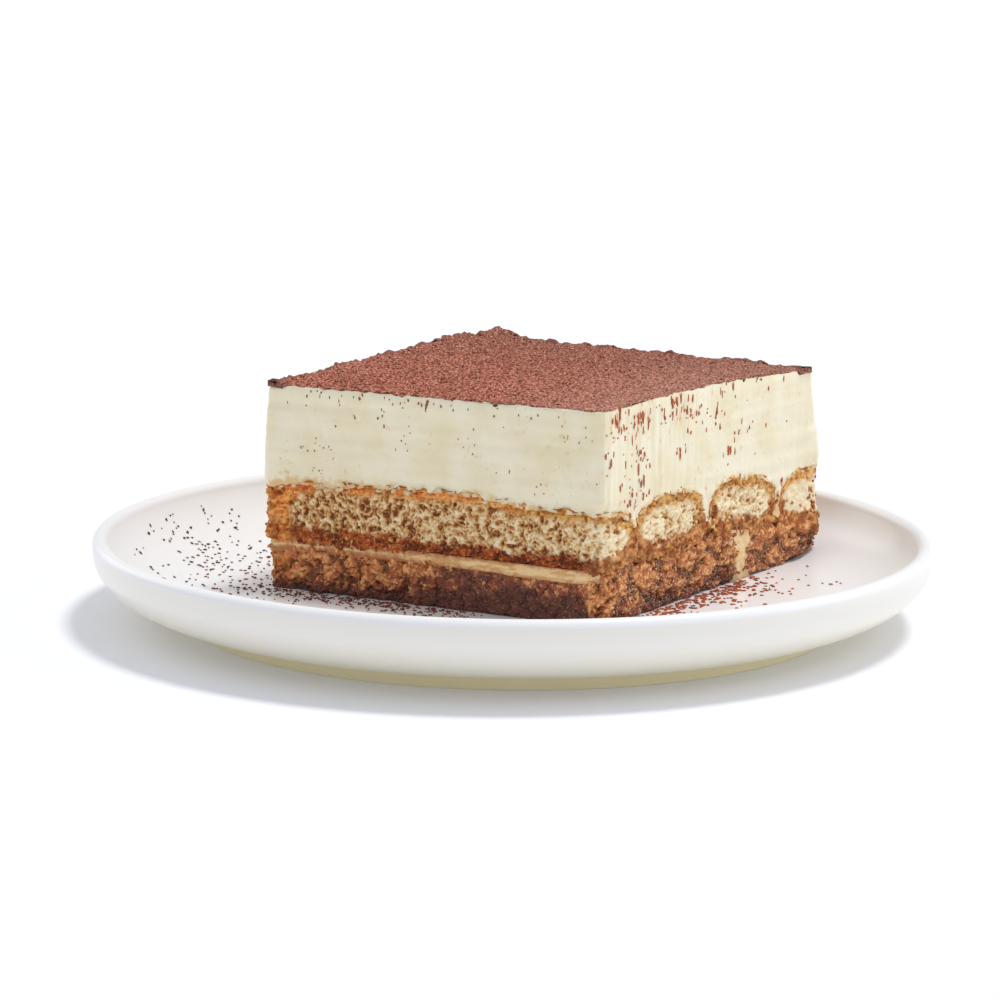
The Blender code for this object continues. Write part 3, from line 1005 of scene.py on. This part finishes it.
# loose cocoa, crumbs and flecks of cream
scatter = {
    "seed": 11,
    # drifts of cocoa on the plate: from and to, spread, grains, their size
    "drifts": (
        ((35.5, -14), (38.5, 32), 4.2, 330, 1.45), ((44, 0), (54, 42), 6.0, 40, 1.3),
        ((-42, -28.5), (4, -29), 3.6, 430, 1), ((-52, -31), (-52, -26), 9.0, 66, 1),
        ((-64, -22), (-70, 8), 10.0, 120, 1.2), ((-80, -18), (-80, 16), 4.5, 40, 1.2),
        ((-52, 8), (-47, 62), 6.0, 90, 1), ((-34, 72), (36, 72), 4.0, 80, 1),
    ),
    "rimDistance": 4 * mm,  # no grain lies nearer the plate's edge
    # dashes of cocoa that the knife dragged down a side cut: how far back, how high, spreads, dashes
    "dashes": (
        (12.5, 39.8, 1.8, 1.2, 22), (5, 39, 2.5, 2, 15), (24, 40.2, 6, 1.4, 26), (34, 39, 3, 1.8, 22),
        (45, 37.5, 5, 2, 18), (14, 32, 4, 2, 20), (1.5, 36, 0.8, 3, 9), (9, 30, 4, 5, 14),
        (13, 24.8, 2.2, 1.4, 20), (31, 21.8, 3.2, 1.1, 24), (51, 28, 1.4, 1.6, 5), (55, 31.5, 2, 1, 5),
        (33, 32, 2.4, 0.7, 6), (62, 33, 8, 4, 10), (60, 41.5, 14, 1, 12),
    ),
    "rimDashes": 44,
    "clusters": 16,
    "seamDashes": 44,
    # a run of cocoa down from the rim: height, width
    "run": ((42.2, 0.7), (41.6, 0.8), (41.0, 0.6), (40.5, 0.4)),
    "dabs": 18,
    "dark": "74443a",
    # grain colours for painted light: dark for the shaded left, red for the lit right, stain for the
    # shaded end in cream
    "red": "c2663e",
    "stain": "9a6440",
    "crumb": ("8e4a24", "cc8044", "edb878"),
    # loose crumbs on the cuts: which, distance along it, spread, height, spread, crumbs
    "crumbs": (
        ("front", 56, 12, 11, 3.5, 44), ("front", 56, 14, 9.8, 1.0, 60), ("front", 77, 1.2, 10, 6, 60),
        ("side", 45, 25, 11, 4, 110), ("side", 89, 1.5, 10, 6, 50), ("side", 2, 2.5, 8, 3.5, 40),
        ("side", 43, 1.6, 14, 1.2, 30), ("side", 74, 1.4, 15, 1.2, 16),
    ),
}


def lump(bm, place, out, along, size, roundness=1):
    # one rough grain on a surface; its size is length, width and thickness
    made = bmesh.ops.create_icosphere(bm, subdivisions=roundness, radius=0.5)
    along = (along - out * along.dot(out)).normalized()
    across = out.cross(along)
    for vert in made["verts"]:
        x, y, z = vert.co * (1 + 0.7 * noise.noise(vert.co * 2.6 + place * 900))
        vert.co = place + along * x * size[0] + across * y * size[1] + out * z * size[2]


def scatterOnPlate(draw):
    bm = bmesh.new()
    for (startX, startY), (endX, endY), wide, count, coarse in scatter["drifts"]:
        placed = 0
        while placed < count:
            share = draw.random()
            spot = Vector((startX + (endX - startX) * share + draw.gauss(0, wide),
                           startY + (endY - startY) * share + draw.gauss(0, wide), 0)) * mm
            radius = spot.length
            spot.z = wellHeight(radius)
            inside = min(fromLeft(spot), fromRight(spot), fromFront(spot), fromBack(spot)) > -0.6 * mm
            if inside or radius > plate["radius"] - scatter["rimDistance"]:
                continue
            slope = (wellHeight(radius + 0.2 * mm) - spot.z) / (0.2 * mm)
            out = (Vector((0, 0, 1)) - spot.normalized() * slope).normalized()
            turn = draw.uniform(0, 2 * math.pi)
            size = draw.triangular(0.35, 1.15, 0.5) * coarse * mm
            lump(bm, spot + out * 0.1 * mm, out, Vector((math.cos(turn), math.sin(turn), 0)),
                 (size, size * draw.uniform(0.5, 0.9), 0.3 * mm))
            placed += 1
    return bm


def onCut(tree, face, along, level):
    # finds the point that lies so far along a cut and so high over the plate's floor, and the way out
    low, high, skew = portion["low"], portion["high"], portion["skew"]
    height, clear, reach = plate["floorHeight"] + level * mm, 10 * mm, 14 * mm
    if face == "front":
        start = (high.x - skew * (high.y - low.y) - along * mm, low.y - clear, height)
        way = Vector((0, 1, 0))
    else:
        start = (low.x + portion["width"] + skew * along * mm + clear, low.y + along * mm, height)
        way = Vector((-1, 0, 0))
    return tree.ray_cast(Vector(start), way, reach)[0], -way


def creamFoot(tree, crumbTree, across):
    # the height at which the top cream ends on the front cut
    level, lowest, drop = 27.0, 18, 0.2
    while level > lowest:
        hit = onCut(tree, "front", across, level)[0]
        under = onCut(crumbTree, "front", across, level)[0]
        if hit is None or (under is not None and under.y < hit.y):
            break
        level -= drop
    return level


def scatterBlobs(draw, tree, crumbTree):
    # dabs of cream that the knife left over the top of the crumb
    bm = bmesh.new()
    for step in range(scatter["dabs"]):
        across = draw.uniform(26, 77)
        foot = creamFoot(tree, crumbTree, across)
        hit, out = onCut(crumbTree, "front", across, foot - draw.uniform(0.0, 0.3))
        if hit:
            size = draw.uniform(0.9, 2.2) * mm
            lump(bm, hit, out, Vector((1, 0, 0.2)), (size, size * 0.55, 0.45 * mm), 2)
    return bm


def scatterOnCream(draw, tree, crumbTree):
    bm = bmesh.new()
    down = Vector((0, 0, -1))
    for back, level, wideBack, wideLevel, count in scatter["dashes"]:
        for step in range(count):
            hit, out = onCut(tree, "side", draw.gauss(back, wideBack), draw.gauss(level, wideLevel))
            length = draw.choice((0.45, 0.6, 0.9, 1.3, 1.8, 2.4)) * draw.uniform(0.8, 1.2) * mm
            if hit:
                lump(bm, hit, out, down + Vector((0, draw.uniform(-0.1, 0.1), 0)),
                     (length, draw.uniform(0.45, 0.95) * mm, 0.16 * mm))
    # fallen from the rim of the front cut
    for step in range(scatter["rimDashes"]):
        hit, out = onCut(tree, "front", draw.triangular(1, 77, 60), 42.4 - draw.expovariate(0.6))
        if hit:
            size = draw.uniform(0.3, 1.0) * mm, draw.uniform(0.25, 0.5) * mm, 0.16 * mm
            lump(bm, hit, out, down, size)
    for cluster in range(scatter["clusters"]):
        across, level = draw.uniform(2, 76), draw.uniform(25, 40)
        for step in range(draw.randint(1, 5)):
            hit, out = onCut(tree, "front", across + draw.gauss(0, 1.3), level + draw.gauss(0, 0.8))
            if hit:
                size = draw.uniform(0.25, 0.7) * mm, draw.uniform(0.2, 0.4) * mm, 0.14 * mm
                lump(bm, hit, out, down, size)
    # along the seam with the sponge
    for step in range(scatter["seamDashes"]):
        across = draw.gauss(46, 6)
        foot = creamFoot(tree, crumbTree, across)
        hit, out = onCut(tree, "front", across, foot + draw.uniform(-0.1, 0.3))
        if hit:
            size = draw.uniform(0.4, 1.3) * mm, draw.uniform(0.2, 0.35) * mm, 0.2 * mm
            lump(bm, hit, out, Vector((1, 0, 0)), size)
    for level, wide in scatter["run"]:
        hit, out = onCut(tree, "front", 40.3 + 0.2 * (42 - level), level)
        if hit:
            lump(bm, hit, out, down, (0.9 * mm, wide * mm, 0.2 * mm))
    return bm


def scatterCrumbs(draw, crumbTree, wholeTree):
    # crumbs lie on the sponge, and over the ends of the cream's drips
    bm = bmesh.new()
    for face, along, wide, level, deep, count in scatter["crumbs"]:
        tree = wholeTree if level > 12 else crumbTree
        for step in range(count):
            hit, out = onCut(tree, face, draw.gauss(along, wide), draw.gauss(level, deep))
            size = draw.uniform(0.35, 1.1) * mm
            if hit:
                turn = Vector((draw.uniform(-1, 1), draw.uniform(-1, 1), draw.uniform(-1, 1)))
                lump(bm, hit, out, turn, (size * 1.4, size, size * 0.7))
    return bm


def grainMaterial(name, left, right):
    # cocoa powder in single grains, with painted light across them: darker toward the shaded left, redder
    # toward the lit right; stained brown where smeared in cream
    material, add, shader = newMaterial(name, {"Roughness": 0.9, "Specular IOR Level": 0.2})
    draw = add("Math", "MULTIPLY", speckle(add, 1.2, 1.0), 2.0)
    across = add("SeparateXYZ", "X", add("TexCoord", "Object"))
    # painted light: the share runs from the shaded left to the lit right
    share = add("Math", "MULTIPLY_ADD", across, 1 / (90 * mm), draw)
    fill(shader, {"Base Color": lay(add, scatter[left], scatter[right], (share, 0.8, 1.7))})
    return material


def crumbMaterial():
    # loose sponge crumbs, from brown crust to pale inside
    material, add, shader = newMaterial("loose sponge crumbs", {
        "Roughness": 0.8, "Specular IOR Level": 0.3})
    stops = list(zip((0.36, 0.5, 0.66), scatter["crumb"]))
    fill(shader, {"Base Color": add("ValToRGB", stops, speckle(add, 1.5))})
    return material


def buildScatter():
    # loose grains are set on the real surface of the finished pieces
    draw = random.Random(scatter["seed"])
    fingers = [piece for piece in bpy.data.objects if piece.name.startswith("ladyfinger")]
    creams = [bpy.data.objects[name] for name in ("mascarponeTop", "mascarponeMiddle")]
    creamTree, crumbTree = surfaceOf(creams[:1]), surfaceOf(fingers)
    finishPiece(scatterOnPlate(draw), "cocoaOnPlate",
                grainMaterial("loose cocoa grains", "dark", "red"), [])
    finishPiece(scatterOnCream(draw, creamTree, crumbTree), "cocoaOnCream",
                grainMaterial("cocoa smeared in cream", "stain", "red"), [])
    finishPiece(scatterCrumbs(draw, crumbTree, surfaceOf(creams + fingers)), "looseCrumbs",
                crumbMaterial(), [])
    finishPiece(scatterBlobs(draw, creamTree, crumbTree), "creamDabs",
                bpy.data.materials["mascarpone cream"], [])
    print("cocoa and crumbs scattered")


buildScatter()
